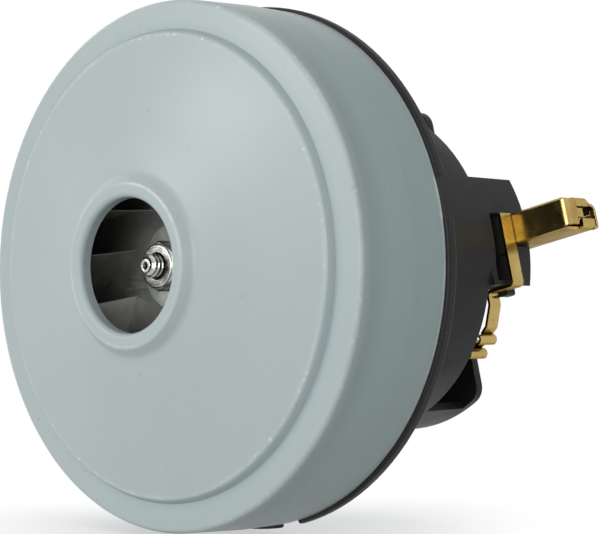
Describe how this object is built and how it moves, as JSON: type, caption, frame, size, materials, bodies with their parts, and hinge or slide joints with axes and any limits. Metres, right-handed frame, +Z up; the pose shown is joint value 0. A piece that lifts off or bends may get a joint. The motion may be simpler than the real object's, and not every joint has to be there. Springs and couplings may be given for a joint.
{
  "type": "vacuum motor unit",
  "caption": "Suction motor for a vacuum cleaner: a closed fan in a drawn steel cover, driven by a brushed motor in a moulded frame.",
  "frame": {"origin": "on the shaft line, in the plane of the fan cover's open rim", "axes": "+Y along the shaft from the air inlet to the rear bearing, +Z up, +X to the right seen from the inlet"},
  "size_m": [0.1398, 0.1281, 0.1398],
  "materials": {
    "cover_steel": "satin",
    "fan_aluminium": "satin",
    "zinc_steel": "satin",
    "bright_steel": "ground",
    "black_plastic": "fine grained",
    "core_steel": "stacked sheets",
    "enamelled_wire": "varnished",
    "commutator_moulding": "turned",
    "copper": "turned",
    "brass": "rolled",
    "carbon": "pressed",
    "spring_steel": "drawn"
  },
  "bodies": {
    "stator": {"brush_tube_a": "brass", "brush_tube_b": "brass", "diffuser": "black_plastic", "fan_cover": "cover_steel", "field_coil_a": "enamelled_wire", "field_coil_b": "enamelled_wire", "front_bearing_outer": "bright_steel", "front_bracket": "black_plastic", "motor_frame": "black_plastic", "rear_bearing_outer": "bright_steel", "stator_core": "core_steel", "stator_screw_a": "zinc_steel", "stator_screw_b": "zinc_steel", "terminal_strap_a": "brass", "terminal_strap_b": "brass"},
    "rotor": {"armature_core": "core_steel", "armature_winding": "enamelled_wire", "commutator_bars": "copper", "commutator_hub": "commutator_moulding", "fan_back_plate": "fan_aluminium", "fan_blade_01": "fan_aluminium", "fan_blade_02": "fan_aluminium", "fan_blade_03": "fan_aluminium", "fan_blade_04": "fan_aluminium", "fan_blade_05": "fan_aluminium", "fan_blade_06": "fan_aluminium", "fan_blade_07": "fan_aluminium", "fan_blade_08": "fan_aluminium", "fan_blade_09": "fan_aluminium", "fan_blade_10": "fan_aluminium", "fan_front_plate": "fan_aluminium", "fan_nut": "zinc_steel", "front_bearing_inner": "bright_steel", "front_washer": "zinc_steel", "hub_washer": "zinc_steel", "rear_bearing_inner": "bright_steel", "rear_washer": "zinc_steel", "shaft": "bright_steel", "spacer_sleeve": "bright_steel"},
    "brush_a": {"carbon_brush_a": "carbon", "brush_spring_a": "spring_steel"},
    "brush_b": {"carbon_brush_b": "carbon", "brush_spring_b": "spring_steel"}
  },
  "joints": [
    {"name": "rotor_spin", "type": "hinge", "parent": "stator", "child": "rotor", "pos_m": [0, 0, 0], "axis": [0, 1, 0], "continuous": true},
    {"name": "brush_a_slide", "type": "slide", "parent": "stator", "child": "brush_a", "axis": [0.9736, 0, 0.2284], "range_m": [0, 0.006], "stiffness_N_per_m": 60, "springref_m": -0.02, "deforming": ["brush_spring_a"]},
    {"name": "brush_b_slide", "type": "slide", "parent": "stator", "child": "brush_b", "axis": [-0.9736, 0, -0.2284], "range_m": [0, 0.006], "stiffness_N_per_m": 60, "springref_m": -0.02, "deforming": ["brush_spring_b"]}
  ]
}
